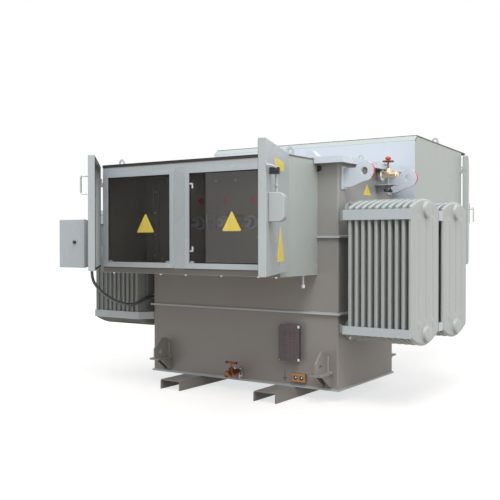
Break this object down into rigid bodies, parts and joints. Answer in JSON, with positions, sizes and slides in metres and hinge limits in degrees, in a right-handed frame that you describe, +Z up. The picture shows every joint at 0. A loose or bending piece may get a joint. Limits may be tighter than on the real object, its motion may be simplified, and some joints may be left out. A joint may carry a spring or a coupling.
{
  "type": "power transformer",
  "caption": "Oil-filled substation transformer on skids, with open cable cabinets front and back, side radiators, valves, lifting lugs and a small control box.",
  "frame": {"origin": "bottom centre of the whole, on the floor under the skids", "axes": "+X to the right along the front, +Y to the back, +Z up"},
  "size_m": [2.676, 4.0694, 1.8759],
  "materials": {
    "paint": "satin",
    "sheet_paint": "satin",
    "frame_paint": "satin",
    "radiator_paint": "satin",
    "gasketed_cover": "satin",
    "glass": "clear",
    "porcelain": "gloss",
    "ceramic": "matte",
    "brass": "satin",
    "steel": "satin",
    "black": "matte",
    "conduit": "matte",
    "plate": "satin"
  },
  "bodies": {
    "transformer": {"skid_left": "paint", "skid_right": "paint", "tank_floor": "paint", "tank_body": "paint", "tank_cover": "gasketed_cover", "stiffener_low": "paint", "stiffeners_high": "paint", "lifting_lugs_right": "paint", "lifting_lugs_left": "paint", "jacking_brackets_front": "paint", "jacking_brackets_back": "paint", "lv_housing": "sheet_paint", "lv_front": "sheet_paint", "lv_roof": "sheet_paint", "lv_window_frames": "frame_paint", "lv_window_panes": "glass", "lv_hatch": "paint", "lv_bushings": "ceramic", "lv_drain_pipe": "steel", "hv_throat": "paint", "hv_housing": "sheet_paint", "hv_roof": "sheet_paint", "hv_bushings": "porcelain", "radiator_right_front": "radiator_paint", "radiator_right_back": "radiator_paint", "radiator_left_front": "radiator_paint", "radiator_left_back": "radiator_paint", "radiator_straps_right": "frame_paint", "radiator_straps_left": "frame_paint", "drain_valve": "brass", "fill_valve": "brass", "fill_valve_shelf": "paint", "ground_pad": "brass", "rating_plate": "plate", "relief_device": "paint", "roof_eyes": "paint", "control_box": "paint", "control_box_bracket": "paint", "conduit_glands": "steel", "conduit": "conduit"},
    "lv_door_left": {"lv_door_left": "sheet_paint", "lv_door_pull": "steel"},
    "lv_door_right": {"lv_door_right": "sheet_paint", "lv_door_lock": "steel"},
    "hv_door_left": {"hv_door_left": "sheet_paint", "hv_door_left_handle": "steel"},
    "hv_door_right": {"hv_door_right": "sheet_paint", "hv_door_right_handle": "steel"},
    "control_box_lid": {"control_box_lid": "paint"},
    "drain_valve_handle": {"drain_valve_handle": "brass"},
    "fill_valve_wheel": {"fill_valve_wheel": "brass"}
  },
  "joints": [
    {"name": "lv_door_left_hinge", "type": "hinge", "parent": "transformer", "child": "lv_door_left", "pos_m": [-0.862, -1.34329, 1.225], "axis": [0, 0, -1], "range_deg": [-48.4, 61.6]},
    {"name": "lv_door_right_hinge", "type": "hinge", "parent": "transformer", "child": "lv_door_right", "pos_m": [0.637, -1.34329, 1.225], "axis": [0, 0, 1], "range_deg": [-111.7, 8.3]},
    {"name": "hv_door_left_hinge", "type": "hinge", "parent": "transformer", "child": "hv_door_left", "pos_m": [-0.926, 1.14071, 1.311], "axis": [0, 0, 1], "range_deg": [-72.5, 37.5]},
    {"name": "hv_door_right_hinge", "type": "hinge", "parent": "transformer", "child": "hv_door_right", "pos_m": [0.926, 1.14071, 1.311], "axis": [0, 0, -1], "range_deg": [-72.5, 37.5]},
    {"name": "control_box_lid_hinge", "type": "hinge", "parent": "transformer", "child": "control_box_lid", "pos_m": [-1.305, -1.31529, 1.0325], "axis": [0, 0, -1], "range_deg": [0, 110]},
    {"name": "drain_valve_turn", "type": "hinge", "parent": "transformer", "child": "drain_valve_handle", "pos_m": [0, -0.96229, 0.171], "axis": [0, 0, 1], "range_deg": [0, 90]},
    {"name": "fill_valve_turn", "type": "hinge", "parent": "transformer", "child": "fill_valve_wheel", "pos_m": [0.863, -0.26329, 1.561], "axis": [0, 0, 1], "continuous": true}
  ]
}
